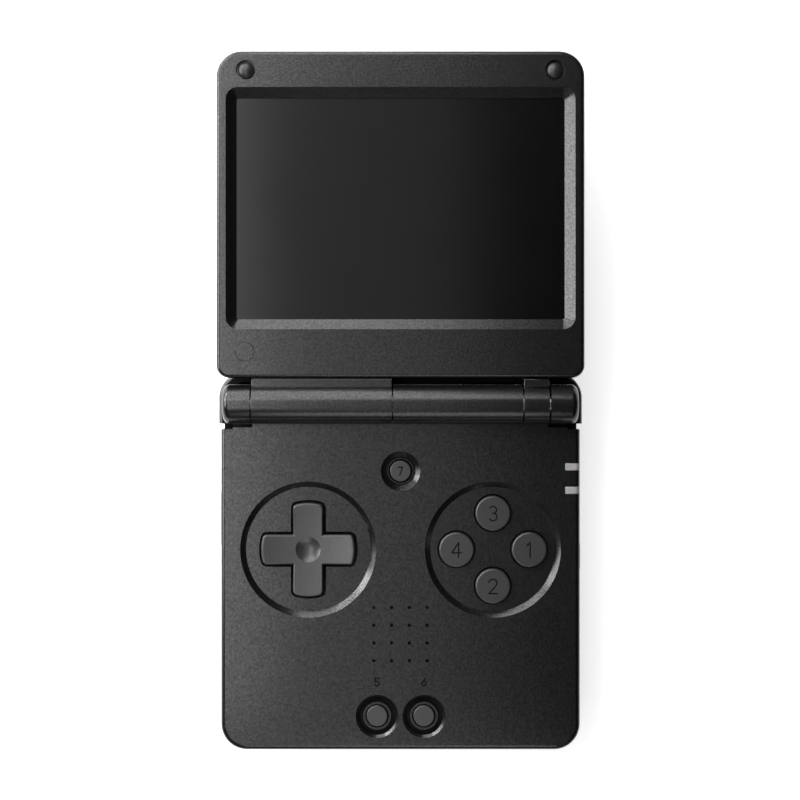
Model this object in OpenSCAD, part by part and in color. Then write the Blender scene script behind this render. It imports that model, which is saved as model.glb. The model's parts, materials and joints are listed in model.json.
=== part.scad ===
// Clamshell handheld game console, with its lid lying flat open.
// The hinge axis runs along X at y = 0. The base lies towards -Y and the lid towards +Y.
// The underside of the base is at z = 0.

/* [Case] */
// Hinge axis to the rear face of the base
rear_y = 7.5; // [7:0.1:8.5]
// Thickness of the base
base_h = 16; // [15.6:0.1:18]
// Parting line between the two base shells, below the base's face
parting_drop = 7.8; // [7.4:0.1:8]
// Wall of the shells
wall = 1.6; // [1.3:0.1:1.8]
// Corner radius of the base in plan
base_corner_r = 6.1; // [5:0.1:7]
// Radius of the bottom shell's lower edge
belly_r = 4; // [3:0.1:4.5]
// Radius round the edge of the base's face
face_edge_r = 1.2; // [0.6:0.1:1.4]
// How far the top shell's side is set in from the bottom shell's
step_in = 0.35; // [0.1:0.05:0.5]

/* [Hinge] */
// Height of the hinge axis above the base's face
hinge_h = 3.4; // [3.2:0.1:3.8]
// Radius of the hinge barrel
barrel_r = 4.6; // [4.4:0.1:4.8]
// Gap between the two faces when the lid is closed
closed_gap = 0.4; // [0.3:0.1:0.6]
// Gap round the lid's knuckles in the cradle
cradle_gap = 0.4; // [0.3:0.05:0.5]
// Left end of the lid's long knuckle, in from the side
long_knuckle_in = 8.1; // [7.9:0.1:9.5]
// Right end of the lid's long knuckle
long_knuckle_x1 = -2; // [-4:0.1:0]
// Length of the lid's short knuckle
short_knuckle_len = 5.8; // [5.6:0.1:6.8]
// Right end of the lid's short knuckle, in from the side
short_knuckle_in = 8.2; // [7.5:0.1:8.5]
// Gap between neighbouring knuckles
knuckle_gap = 0.3; // [0.2:0.05:0.4]
// Outer ends of the end caps, in from the sides
cap_end_in = 1.4; // [1.1:0.1:2]
// Radius round the outer end of the end caps
cap_edge_r = 1.6; // [1:0.1:2.4]
// Dark gap in front of the end caps
cap_front_gap = 0.85; // [0.6:0.05:1.1]
// Radius of the hinge pins
pin_r = 1.9; // [1.6:0.1:2.1]
// Radial clearance of everything that turns on the hinge axis
running_gap = 0.05; // [0.03:0.01:0.08]

/* [Lid] */
// Thickness of the lid
lid_t = 8; // [7.6:0.1:8.2]
// Hinge axis to the lid's hinge side
lid_near_y = 6.1; // [5.8:0.1:6.4]
// Corner radius at the hinge side
lid_near_r = 2.9; // [2.7:0.1:3.4]
// Corner radius at the far side
lid_far_r = 5.9; // [5:0.1:6.5]
// Radius round the screen side's edge
lid_face_r = 1.0; // [0.6:0.1:1.4]
// Radius round the outer side's edge
lid_back_r = 2.6; // [1.6:0.1:2.7]
// Thickness of the back cover's half of the lid
cover_t = 3.6; // [3.4:0.1:3.8]
// Drop of the knuckle webs below the lid's face
web_drop = 0.3; // [0.2:0.05:0.5]
// How much the knuckle webs rise towards the barrel
web_rise = 0.15; // [0.05:0.05:0.2]
// Thickness of the knuckle webs
web_t = 6.6; // [6.2:0.1:6.8]

/* [Screen] */
// Width of the recess at the lid's face
recess_w = 80.6; // [78:0.2:81]
// Height of the recess at the lid's face
recess_h = 55.8; // [54:0.2:57]
// Bare lid to each side of the recess
side_border = 2.2; // [2:0.1:5]
// Bare lid between its hinge side and the recess
near_border = 11.2; // [10.8:0.1:14]
// Bare lid between the recess and its far edge
far_border = 8.4; // [8.2:0.1:12]
// Width of the slanted rim of the recess
rim_w = 2.35; // [1.8:0.05:2.6]
// Depth of the slanted rim
rim_depth = 1.5; // [1.2:0.1:1.8]
// Upright step between the rim and the lens
rim_step = 0.25; // [0.2:0.05:0.4]
// Corner radius of the visible glass
glass_r = 0.5; // [0.3:0.1:1]
// Thickness of the lens
lens_t = 1; // [0.8:0.1:1.1]
// Thickness of the display panel
panel_t = 1.3; // [1:0.1:1.4]
// Thickness of the backlight unit
backlight_t = 1; // [0.8:0.1:1.1]

/* [Lid trim] */
// Bumper centres in from the sides
bumper_in = 6.9; // [6.3:0.1:7.5]
// Bumper centres from the lid's far edge
bumper_far_in = 4.5; // [4.3:0.1:4.8]
// Radius of the bumpers
bumper_r = 1.95; // [1.85:0.05:2.1]
// Ring of bare recess round a bumper
bumper_ring = 0.35; // [0.2:0.05:0.45]
// Depth of the bumper's recess
bumper_sink = 0.9; // [0.7:0.1:1.1]
// How far a bumper's dome stands out of the lid's face
bumper_proud = 0.35; // [0.25:0.05:0.37]
// Plug centre in from the left side
plug_in = 6.65; // [6:0.05:7.5]
// Plug centre from the hinge axis
plug_y = 12.1; // [11.5:0.1:12.6]
// Radius of the flush plug
plug_r = 2.15; // [1.9:0.05:2.3]

/* [Dishes] */
// Centre of each dish in from the side
dish_in = 20.85; // [20.3:0.05:21.5]
// Centre of each dish in front of the hinge axis
dish_y = 34.1; // [33:0.1:36]
// Radius of a dish at the face
dish_r = 15.95; // [15.4:0.05:16.4]
// Width of a dish's slanted edge
dish_edge = 1.3; // [0.8:0.1:1.6]
// Depth of a dish
dish_depth = 1; // [0.8:0.1:1.3]
// Thickness of the shell under a dish
dish_floor = 1.3; // [1.1:0.1:1.4]

/* [D-pad] */
// Overall length of the d-pad
pad_len = 22; // [21:0.2:23]
// Width of its arms
pad_arm = 7.05; // [6.6:0.05:7.4]
// Corner radius at the ends of the arms
pad_corner_r = 1; // [0.6:0.1:1.4]
// Gap between the d-pad and its opening
pad_gap = 0.6; // [0.5:0.05:0.8]
// How far the arm ends stand above the base's face
pad_proud = 0.9; // [0.6:0.1:1.1]
// How much lower the middle is than the arm ends
pad_dish = 0.8; // [0.3:0.05:0.85]
// Radius of the thumb dimple in plan
dimple_r = 2.9; // [2.4:0.1:3.2]
// Depth of the thumb dimple
dimple_depth = 0.75; // [0.4:0.05:0.8]
// Tilt of the d-pad each way, in degrees
pad_tilt = 3.5; // [2:0.5:3.5]
// Radius of the pivot ball
ball_r = 1.6; // [1.4:0.1:1.7]
// Radius of the retaining flange
pad_flange_r = 8.2; // [7.6:0.1:8.4]

/* [Face buttons] */
// Centre of the group to the middle of each button
face_pitch = 8.52; // [8.3:0.02:8.8]
// Radius of a face button
face_r = 4.1; // [3.9:0.05:4.2]
// Gap between a button and its hole
button_gap = 0.38; // [0.3:0.02:0.45]
// How far a face button stands above the base's face
face_proud = 0.9; // [0.6:0.1:1.1]
// Travel of a face button
face_travel = 0.8; // [0.6:0.05:0.8]
// Radius of a face button's flange
face_flange_r = 5.2; // [4.9:0.05:5.5]

/* [Small buttons] */
// Radius of the menu, select and start buttons
small_r = 2.475; // [2.3:0.025:2.6]
// Travel of the small buttons
small_travel = 0.6; // [0.4:0.05:0.7]
// Menu button in front of the hinge axis
menu_y = 15.7; // [15.2:0.1:16]
// Radius of the menu well at the face
menu_well_r = 4.65; // [4.3:0.05:5]
// Radius of the menu well at its floor
menu_floor_r = 3.05; // [2.95:0.05:3.3]
// Depth of the menu well
menu_well_depth = 1.2; // [1:0.05:1.4]
// Select and start from the middle line
start_x = 5.5; // [5.4:0.05:5.8]
// Select and start in from the front edge
start_in = 8.3; // [7.9:0.1:8.9]
// Radius of the select and start wells at the face
start_well_r = 5.05; // [4.8:0.05:5.15]
// Slanted edge of those wells
start_chamfer = 0.6; // [0.3:0.1:0.8]
// Outer radius of the collar round each of those buttons
collar_r = 3.3; // [3.2:0.05:3.5]
// Depth of the select and start wells below the face
well_depth = 1.6; // [1.3:0.1:1.8]
// How much deeper the grooves round select and start are
groove_more = 0.3; // [0:0.1:0.4]
// Drop of the small buttons' tops below the face
small_drop = 0.35; // [0.2:0.05:0.6]
// Drop of the collars below the face
collar_drop = 0.7; // [0.5:0.05:1]

/* [Marks] */
// Stroke width of the numerals
stroke_w = 0.32; // [0.2:0.02:0.4]
// Depth of the numerals
stroke_depth = 0.15; // [0.1:0.05:0.2]
// Height of the face buttons' numerals
face_mark_h = 3.4; // [2.4:0.1:4]
// Height of the small numerals
small_mark_h = 1.8; // [1.2:0.1:2.2]

/* [Speaker] */
// Holes along each side of the square of speaker holes
speaker_n = 4; // [2:1:5]
// Spacing of the speaker holes
speaker_pitch = 4.16; // [3:0.02:4.4]
// Radius of a speaker hole
speaker_hole_r = 0.42; // [0.3:0.02:0.6]
// Middle of the speaker in front of the middles of the dishes
speaker_ahead = 19.8; // [19:0.1:20.5]
// Radius of the speaker
speaker_r = 9; // [8:0.1:9.2]

/* [Indicator lights] */
// Near indicator light in front of the hinge axis
light_y = 14.7; // [14:0.1:15.5]
// Spacing of the two indicator lights
light_pitch = 5.5; // [4.5:0.1:6]
// Width of a light pipe
light_w = 1.75; // [1.4:0.05:2]
// Length of a light pipe on the face
light_len = 3.55; // [3:0.05:4]
// How far a light pipe reaches down the side
light_down = 3.4; // [2.5:0.1:4]

/* [Shoulder buttons] */
// How far the outer shoulder buttons stand proud of the sides
key_proud = 0.43; // [0.2:0.01:0.6]
// Corner radius of the outer shoulder buttons in plan
key_corner_r = 6; // [5:0.1:6.5]
// Radius of the shoulder buttons' upper edges
key_edge_r = 1; // [0.6:0.1:1.2]
// Front end of the outer shoulder buttons, in front of the hinge axis
key_front_y = 4.6; // [4:0.1:5]
// Inner end of the outer shoulder buttons, in from the side
key_outer_in = 14.9; // [14:0.1:16]
// Inner end of the inner shoulder buttons, in from the side
key_inner_in = 28.2; // [27.5:0.1:29.5]
// Gap between neighbouring shoulder buttons
key_split = 0.5; // [0.4:0.1:0.8]
// Thickness of the shoulder buttons
key_t = 2.3; // [2:0.1:2.5]
// Height of the pocket floor under the shoulder buttons
key_floor_z = 5; // [4.6:0.1:5.6]
// Depth of the pocket behind the rear face
pocket_depth = 3.9; // [3.8:0.05:4.2]
// Swing of a shoulder button, in degrees
key_swing = 3; // [2:0.5:3.5]

/* [Side controls] */
// Middle of the volume rocker in front of the hinge axis
volume_y = 27; // [24:0.5:32]
// Length of the volume rocker
volume_len = 13.4; // [11:0.1:15]
// Middle of the power button in front of the hinge axis
power_y = 36; // [32:0.5:44]
// Length of the power button
power_len = 6.4; // [5:0.1:8]
// Height of the side controls
side_key_h = 2; // [1.6:0.1:2.2]
// How far the side controls stand out of the top shell
side_proud = 0.3; // [0.1:0.05:0.34]
// Gap round the side controls
side_gap = 0.3; // [0.2:0.05:0.35]

/* [Ports] */
// Radius of the headphone jack's bore
jack_r = 1.8; // [1.76:0.01:1.9]
// Headphone jack in from the left side
jack_in = 10.5; // [9.5:0.1:11]
// Depth of the headphone jack's bore
jack_depth = 13; // [12:0.5:14]
// Width of the charging port's opening
usb_w = 8.34; // [8.3:0.01:8.4]
// Height of the charging port's opening
usb_h = 2.56; // [2.5:0.01:2.6]
// Length of the charging port
usb_len = 7.3; // [6.5:0.1:7.8]
// Middle of the card slot in from the right side
card_in = 23.5; // [21.5:0.5:25.5]
// Width of the card slot
card_w = 12; // [11.5:0.1:12.5]

/* [Inside] */
// Width of the battery pack
battery_w = 48; // [44:0.5:49]
// Length of the battery pack
battery_l = 40; // [36:0.5:41]
// Thickness of the battery pack
battery_t = 5; // [4.4:0.1:5.2]
// Front of the battery pack, in from the front edge
battery_in = 9.1; // [8.5:0.1:9.9]
// Thickness of the battery door
door_t = 1.2; // [1:0.1:1.3]
// Thickness of the main board
board_t = 1; // [0.8:0.1:1]
// Main board's underside below the base's face
board_drop = 6.3; // [6.2:0.05:6.35]
// Thickness of the membranes
sheet_t = 0.45; // [0.35:0.05:0.5]
// Case screws in from the sides
screw_in = 6.2; // [5.9:0.1:6.7]
// Front case screws in from the front edge
screw_front_in = 19.5; // [17.5:0.5:23.5]
// Rear case screws in front of the hinge axis
screw_rear_y = 11; // [10.6:0.1:11.6]
// Radius of the case screws' threads
screw_r = 1; // [0.8:0.05:1.1]

/* [Hidden] */
$fn = 64;

// A little more than nothing, so that cuts run clear through
eps = 0.01;
far = 200;
shell_grey = [0.15, 0.15, 0.16];
key_grey = [0.2, 0.2, 0.21];

// Heights
axis_z = base_h + hinge_h;
parting_z = base_h - parting_drop;
board_z = base_h - board_drop;
lid_face_z = axis_z + hinge_h - closed_gap;
lid_back_z = lid_face_z - lid_t;
lid_parting_z = lid_back_z + cover_t;
shelf_z = lid_back_z - 0.5;
roof_z = base_h - wall;
dish_z = base_h - dish_depth;
dish_under_z = dish_z - dish_floor;
board_top_z = board_z + board_t;
sheet_z = board_top_z + sheet_t;
stem_spare = 0.25;
stem_z = sheet_z + face_travel + stem_spare;

// Plan of the case: its width and its reach from the hinge axis follow the screen
half_w = recess_w / 2 + side_border;
reach = lid_near_y + near_border + recess_h + far_border;
screen_y = lid_near_y + near_border + recess_h / 2;
long_knuckle_x0 = -half_w + long_knuckle_in;
short_knuckle_x1 = half_w - short_knuckle_in;
short_knuckle_x0 = short_knuckle_x1 - short_knuckle_len;
cap_end_x = half_w - cap_end_in;
bumper_x = half_w - bumper_in;
bumper_y = reach - bumper_far_in;
plug_x = half_w - plug_in;
dish_x = half_w - dish_in;
start_y = reach - start_in;
speaker_y = dish_y + speaker_ahead;
key_outer_x0 = half_w - key_outer_in;
key_inner_x0 = half_w - key_inner_in;
battery_front_y = reach - battery_in;
screw_x = half_w - screw_in;
screw_front_y = reach - screw_front_in;

// Plan of the base
top_half_w = half_w - step_in;
top_front_y = -(reach - step_in);
top_rear_y = rear_y - step_in;
cap_x0 = short_knuckle_x1 + knuckle_gap + 0.1;
cap_cut_y = -(barrel_r + cap_front_gap);
room_rear_y = -(barrel_r + 2.6);
rear_wall = 1;
pocket_x = half_w - 3.2;
pocket_y = rear_y - pocket_depth;
pocket_front_y = -(key_front_y + 1.3);
middle_x0 = long_knuckle_x1 + knuckle_gap;
middle_x1 = short_knuckle_x0 - knuckle_gap;
bay_gap = 0.6;
tray_wall = 1.2;
door_margin = 2.1;
door_tab = 4.6;
screw_spots = [for (x = [-screw_x, screw_x], y = [-screw_front_y, -screw_rear_y]) [x, y]];
face_spots = [[1, 0], [0, -1], [0, 1], [-1, 0]];
light_spots = [-light_y, -light_y - light_pitch];

// Main board: its gaps to the case's outside, its tongue, and chips as [x, y, width, length, height]
board_side_gap = 4.4;
board_front_gap = 2.4;
board_corner_r = 3;
board_tongue_w = 18;
chips = [[0, -28, 8, 8, 0.7], [-0.5, -38.25, 6, 5.5, 0.6],
    [16.5, -start_y - 0.05, 11, 6.5, 0.8], [-16, -start_y - 0.55, 8, 4.5, 0.5]];
processor_size = [14, 12];
processor_t = 1;
shield_size = [22, 16];
processor_y = -(battery_front_y - battery_l) + bay_gap + tray_wall + door_tab + shield_size.y / 2;
shield_h = 2;
shield_skin = 0.3;

// Switches behind the shoulder buttons and the side controls
key_nub_r = 0.35;
key_nub_in = 2.5;
key_nub_gap = 0.2;
key_outer_nub_x = key_outer_x0 + 8.4;
key_inner_nub_x = key_inner_x0 + 7.4;
key_strip_t = 0.2;
key_strip_w = 4;
key_switch_w = 3;
key_switch_t = 0.7;
side_switch_x = top_half_w - wall - 1.45;
side_switch_depth = 2.6;
side_switch_h = 2;
power_switch_len = 4;
volume_switch_len = 3.2;
volume_switch_apart = volume_len * 0.66;

// D-pad: how far its dish runs on past the arm ends, and its flange's gap to the shell at full tilt
pad_run_out = 0.4;
pad_flange_gap = 0.45;

// Membranes: radii of their domes, and the small sheet's reach round its two domes
pad_dome_r = 1.6;
face_dome_r = 3.4;
start_dome_r = 2.4;
start_sheet_margin = [4, 3.6];
start_sheet_r = 3;

// Display cable
cable_x = -18;
cable_w = 12;
cable_t = 0.3;
cable_skin = 0.5;
cable_slot_gap = 0.5;
cable_turn = 4;
cable_lap = 7.55;
tail_in = [1.6, 2.6];
tail_foot_y = -11;
tail_foot_len = 2.5;

// Magnet that the lid is held shut by
magnet_x = 23;
magnet_size = [6, 3, 2];

// Ports
usb_skin = 0.3;
usb_z = board_z - usb_h / 2 - usb_skin;
jack_x = -(half_w - jack_in);
jack_z = parting_z;
jack_nose_r = 3;
jack_body_w = 6.4;
card_z = parting_z + 0.2;
card_h = 1.2;
card_x = half_w - card_in;
card_depth = 13.5;
card_case_len = card_depth + 1;

// Hinge
bore_r = pin_r + running_gap;
hollow_r = barrel_r - 1.4;
spigot_r = 2.85;
spigot_len = 4.2;
cable_r = 1.7;
shaft_r = 2.2;
cartridge_r = 3.6;
cartridge_x0 = 8;
cartridge_wall = 0.6;
cam_r = cartridge_r - cartridge_wall - 0.1;

// Tops of the webs: the low end's height, where the high end meets the barrel, and the curve between
seam = 0.3;
web_z = lid_face_z - web_drop;
web_end_h = web_z + web_rise - axis_z;
barrel_side_y = sqrt(barrel_r * barrel_r - web_end_h * web_end_h);
web_run = lid_near_y - seam - barrel_side_y;
web_curve_r = (web_run * web_run + web_rise * web_rise) / (2 * web_rise);

// Screen
glass_w = recess_w - 2 * rim_w;
glass_h = recess_h - 2 * rim_w;
lens_top_z = lid_face_z - rim_depth - rim_step;
lens_lap = 1.2;
panel_z = lens_top_z - lens_t - panel_t;
lid_room_z = lid_face_z - wall;

// A rectangle with its corner at the origin and round corners, limited by its shorter side
module round_rect(w, h, corner) {
    r = min(corner, w / 2 - eps, h / 2 - eps);
    translate([0, r]) square([w, h - 2 * r]);
    translate([r, 0]) square([w - 2 * r, h]);
    for (x = [r, w - r], y = [r, h - r]) translate([x, y]) circle(r);
}

// A flat plate with round corners, between two corners in plan
module plate(x0, x1, y0, y1, z0, z1, r) {
    translate([x0, y0, z0]) linear_extrude(z1 - z0) round_rect(x1 - x0, y1 - y0, r);
}

module block(x0, x1, y0, y1, z0, z1) {
    translate([x0, y0, z0]) cube([x1 - x0, y1 - y0, z1 - z0]);
}

// Half of a section with rounded lower and upper outer edges
module rim_section(out, z0, z1, low_r, high_r) {
    mid = (z0 + low_r + z1 - high_r) / 2;
    translate([0, z0 + low_r]) square([out, z1 - z0 - low_r - high_r]);
    translate([0, z0]) square([out - low_r, mid - z0]);
    translate([0, mid]) square([out - high_r, z1 - mid]);
    if (low_r > 0) intersection() {
        translate([out - low_r, z0 + low_r]) circle(low_r);
        translate([-out, z0]) square([2 * out, mid - z0]);
    }
    if (high_r > 0) intersection() {
        translate([out - high_r, z1 - high_r]) circle(high_r);
        translate([-out, mid]) square([2 * out, z1 - mid]);
    }
}

// The same section, mirrored to both sides
module bar_section(out, z0, z1, low_r, high_r) {
    rim_section(out, z0, z1, low_r, high_r);
    mirror([1, 0]) rim_section(out, z0, z1, low_r, high_r);
}

// One rounded corner post of a slab
module corner_post(r, z0, z1, low_r, high_r) {
    rotate_extrude() intersection() {
        square([r, z1]);
        rim_section(r, z0, z1, low_r, high_r);
    }
}

// A slab with round corners in plan and rounded edges, symmetric about the YZ plane
module slab(half, y0, y1, front_r, back_r, z0, z1, low_r, high_r) {
    big_r = max(front_r, back_r);
    small_side = front_r < back_r;
    small_corner = min(front_r, back_r);
    mid_y = (y0 + y1) / 2;
    half_l = (y1 - y0) / 2;
    for (s = [-1, 1]) {
        translate([s * (half - front_r), y0 + front_r, 0]) corner_post(front_r, z0, z1, low_r, high_r);
        translate([s * (half - back_r), y1 - back_r, 0]) corner_post(back_r, z0, z1, low_r, high_r);
    }
    translate([0, y1 - back_r, 0]) rotate([90, 0, 0])
        linear_extrude(y1 - y0 - front_r - back_r) bar_section(half, z0, z1, low_r, high_r);
    translate([-(half - big_r), mid_y, 0]) rotate([90, 0, 90])
        linear_extrude(2 * (half - big_r)) bar_section(half_l, z0, z1, low_r, high_r);
    if (front_r != back_r) {
        translate([-(half - small_corner), mid_y, 0]) rotate([90, 0, 90])
            linear_extrude(2 * (half - small_corner)) intersection() {
                bar_section(half_l, z0, z1, low_r, high_r);
                translate([small_side ? -half_l : 0, z0]) square([half_l, z1 - z0]);
            }
    }
}

// A cylinder along X
module rod(r, x0, x1) {
    translate([x0, 0, axis_z]) rotate([0, 90, 0]) cylinder(r = r, h = x1 - x0);
}

// A cylinder along Z at a spot in plan
module post(x, y, r, z0, z1) {
    translate([x, y, z0]) cylinder(r = r, h = z1 - z0);
}

// A round stroke from a to b
module stroke(a, b) {
    run = b - a;
    translate(a) rotate(atan2(run.y, run.x)) translate([0, -stroke_w / 2]) square([norm(run), stroke_w]);
    for (p = [a, b]) translate(p) circle(stroke_w / 2);
}

// Strokes through a list of points
module strokes(points) {
    for (i = [1:len(points) - 1]) stroke(points[i - 1], points[i]);
}

// Points along an arc, in degrees
function arc_points(x, y, r, a0, a1, n) =
    [for (i = [0:n]) [x + r * cos(a0 + (a1 - a0) * i / n), y + r * sin(a0 + (a1 - a0) * i / n)]];

// Plain numerals of a height of 1, centred on the origin
function numeral_lines(n) =
    n == 1 ? [[[-0.16, 0.3], [0.05, 0.5], [0.05, -0.5]]] :
    n == 2 ? [concat(arc_points(0, 0.22, 0.28, 170, -35, 8), [[-0.28, -0.5], [0.3, -0.5]])] :
    n == 3 ? [arc_points(0, 0.25, 0.25, 150, -90, 7), arc_points(0, -0.24, 0.27, 90, -150, 7)] :
    n == 4 ? [[[0.14, -0.5], [0.14, 0.5], [-0.32, -0.2], [0.32, -0.2]]] :
    n == 5 ? [concat([[0.26, 0.5], [-0.22, 0.5], [-0.26, 0.06]],
        arc_points(-0.02, -0.2, 0.3, 125, -150, 9))] :
    n == 6 ? [concat([[0.2, 0.5]], arc_points(0, -0.2, 0.3, 150, -210, 12))] :
    [[[-0.28, 0.5], [0.28, 0.5], [-0.08, -0.5]]];

// The cut for one numeral, down from the surface at top_z
module numeral_cut(n, x, y, h, top_z) {
    translate([x, y, top_z - stroke_depth]) linear_extrude(1)
        for (line = numeral_lines(n)) strokes([for (p = line) p * h]);
}

// Plan of the d-pad, grown by a gap: its arms end on one circle
module cross_plan(grow) {
    for (a = [0, 90]) rotate(a) arm_pair(pad_len / 2 + grow, pad_arm / 2 + grow, pad_corner_r + grow);
}

// Two opposite arms along Y
module arm_pair(half_l, half_arm, r) {
    x = half_arm - r;
    y = sqrt((half_l - r) * (half_l - r) - x * x);
    square([2 * half_arm, 2 * y], center = true);
    for (sx = [-1, 1], sy = [-1, 1]) translate([sx * x, sy * y]) circle(r);
    for (a = [0, 180]) rotate(a) intersection() {
        circle(half_l);
        polygon([[0, 0], [2 * x, 2 * y], [-2 * x, 2 * y]]);
    }
}

// Pocket behind the shoulder buttons on the right, above a height
module key_pocket(z0) {
    block(pocket_x, far, pocket_front_y, far, z0, far);
    block(key_inner_x0 - 0.4, far, pocket_y, far, z0, far);
}

module key_pockets(z0) {
    key_pocket(z0);
    mirror([1, 0, 0]) key_pocket(z0);
}

// Outline of the top shell before it is hollowed
module top_block() {
    intersection() {
        slab(top_half_w, top_front_y, top_rear_y, base_corner_r, base_corner_r,
            parting_z, base_h, 0, face_edge_r);
        union() {
            block(-far, far, -far, cap_cut_y, 0, far);
            block(-cap_x0, cap_x0, -reach / 2, 0, 0, far);
        }
    }
    slab(top_half_w, top_front_y, top_rear_y, base_corner_r, base_corner_r,
        parting_z, shelf_z, 0, face_edge_r);
}

// Room inside the top shell
module top_room() {
    low = parting_z - 1;
    plate(-(top_half_w - wall), top_half_w - wall, top_front_y + wall, room_rear_y,
        low, roof_z, base_corner_r - wall);
    block(-(pocket_x - rear_wall), pocket_x - rear_wall, room_rear_y - 6, pocket_y - rear_wall,
        low, axis_z - barrel_r - cradle_gap - wall);
    block(-(key_inner_x0 - 1.6), key_inner_x0 - 1.6, 0, top_rear_y - wall, low, shelf_z - wall);
}

// The middle knuckle and the foot that carries it
module middle_knuckle() {
    rod(barrel_r, middle_x0, middle_x1);
    block(middle_x0, middle_x1, -barrel_r + 0.3, barrel_r - 0.3, shelf_z - 1, axis_z);
    rod(spigot_r, middle_x0 - spigot_len, middle_x0 + 1);
}

// Cuts along the hinge axis inside the middle knuckle
module middle_knuckle_cuts() {
    rod(spigot_r - 0.55, middle_x0 - far, cartridge_x0 - 1);
    rod(cartridge_r, cartridge_x0, far);
    block(middle_x0 + 1.2, cartridge_x0 - 2.2, -1, 1, parting_z - 2, axis_z);
}

module base_top_shell() {
    color(shell_grey) difference() {
        union() {
            difference() {
                top_block();
                top_room();
                key_pockets(0);
                rod(barrel_r + cradle_gap, long_knuckle_x0 - 0.6, cap_x0);
            }
            for (s = [-1, 1]) post(s * dish_x, -dish_y, dish_r + 1.05, dish_under_z, roof_z + 0.4);
            post(0, -menu_y, menu_well_r + 0.9, base_h - well_depth - wall, roof_z + 0.4);
            for (s = [-1, 1])
                post(s * start_x, -start_y, start_well_r + 0.5, base_h - well_depth - wall, roof_z + 0.4);
            for (p = screw_spots) post(p.x, p.y, screw_r + 1.6, parting_z, roof_z + 0.4);
            speaker_ring();
            middle_knuckle();
        }
        middle_knuckle_cuts();
        for (s = [-1, 1]) dish_cut(s * dish_x);
        translate([-dish_x, -dish_y, 0]) linear_extrude(far) cross_plan(pad_gap);
        for (d = face_spots)
            post(dish_x + d.x * face_pitch, -dish_y + d.y * face_pitch, face_r + button_gap, 0, far);
        menu_well();
        for (s = [-1, 1]) start_well(s * start_x);
        speaker_holes();
        for (y = light_spots) light_block(y);
        for (p = screw_spots) post(p.x, p.y, screw_r, 0, roof_z - 1);
        side_slot(1, power_y, power_len);
        side_slot(-1, volume_y, volume_len);
        usb_hole();
        jack_hole();
        card_hole();
        numeral_cut(5, -start_x, -start_y + start_well_r + 3, small_mark_h, base_h);
        numeral_cut(6, start_x, -start_y + start_well_r + 3, small_mark_h, base_h);
    }
}

module dish_cut(x) {
    translate([x, -dish_y, dish_z])
        cylinder(r1 = dish_r - dish_edge, r2 = dish_r, h = dish_depth);
    post(x, -dish_y, dish_r, base_h, base_h + 1);
}

module menu_well() {
    translate([0, -menu_y, base_h - menu_well_depth])
        cylinder(r1 = menu_floor_r, r2 = menu_well_r, h = menu_well_depth);
    post(0, -menu_y, menu_well_r, base_h, base_h + 1);
    post(0, -menu_y, small_r + button_gap, 0, far);
}

module start_well(x) {
    floor_z = base_h - well_depth - groove_more;
    difference() {
        union() {
            post(x, -start_y, start_well_r - start_chamfer, floor_z, base_h);
            translate([x, -start_y, base_h - start_chamfer])
                cylinder(r1 = start_well_r - start_chamfer, r2 = start_well_r, h = start_chamfer);
            post(x, -start_y, start_well_r, base_h, base_h + 1);
        }
        post(x, -start_y, collar_r, floor_z - 1, base_h - collar_drop);
    }
    post(x, -start_y, small_r + button_gap - 0.1, 0, far);
}

module speaker_holes() {
    span = (speaker_n - 1) * speaker_pitch;
    for (i = [0:speaker_n - 1], j = [0:speaker_n - 1])
        post(i * speaker_pitch - span / 2, j * speaker_pitch - span / 2 - speaker_y,
            speaker_hole_r, 0, far);
}

module speaker_ring() {
    difference() {
        post(0, -speaker_y, speaker_r + 1, roof_z - 1.6, roof_z + 0.4);
        post(0, -speaker_y, speaker_r + 0.2, 0, roof_z);
    }
}

// Place of an indicator light, through the edge of the face
module light_block(y) {
    block(top_half_w - light_len, far, y - light_w / 2, y + light_w / 2, base_h - light_down, far);
}

// Slot in the side of the top shell for a side control; side is 1 on the right
module side_slot(side, y, len) {
    w = side_key_h + 2 * side_gap;
    l = len + 2 * side_gap;
    translate([side > 0 ? top_half_w - wall - 1 : -top_half_w - 1, -y, side_z()])
        rotate([90, 0, 90]) linear_extrude(wall + 2) pill(l, w);
}

function side_z() = board_top_z + 1.2;

module usb_hole() {
    translate([0, rear_y + 1, usb_z]) rotate([90, 0, 0])
        linear_extrude(wall + 2.2) pill(usb_w + 2 * usb_skin + 0.3, usb_h + 2 * usb_skin + 0.3);
}

// A slot shape with half-round ends, centred
module pill(w, h) {
    translate([-w / 2, -h / 2]) round_rect(w, h, h / 2 - eps);
}

module jack_hole() {
    translate([jack_x, -reach - 1, jack_z]) rotate([-90, 0, 0]) cylinder(r = jack_nose_r + 0.1, h = wall + 3);
}

module card_hole() {
    block(card_x - card_w / 2, card_x + card_w / 2, -reach - 1, -reach + wall + 2, card_z, card_z + card_h);
}

module base_bottom_shell() {
    color(shell_grey) difference() {
        union() {
            difference() {
                slab(half_w, -reach, rear_y, base_corner_r, base_corner_r, 0, parting_z, belly_r, 0);
                bottom_room();
            }
            battery_tray();
            for (p = screw_spots) post(p.x, p.y, screw_r + 2.2, wall - 0.5, parting_z);
            for (s = [-1, 1], y = [22, 48]) post(s * 33, -y, 1.8, wall - 0.5, board_z);
        }
        key_pockets(key_floor_z);
        battery_bay();
        for (p = screw_spots) {
            post(p.x, p.y, screw_r + 1.3, -1, screw_head_z());
            post(p.x, p.y, screw_r + 0.2, 0, far);
        }
        for (x = pin_spots()) post(x, pin_y(), key_pin_r, key_floor_z - 1, key_floor_z + 1);
        post(0, door_screw_y(), 0.8, 0, 5);
        usb_hole();
        jack_hole();
    }
}

function screw_head_z() = 2.6;
function door_screw_y() = -(battery_front_y - battery_l) + bay_gap + door_tab - 2.2;

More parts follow.
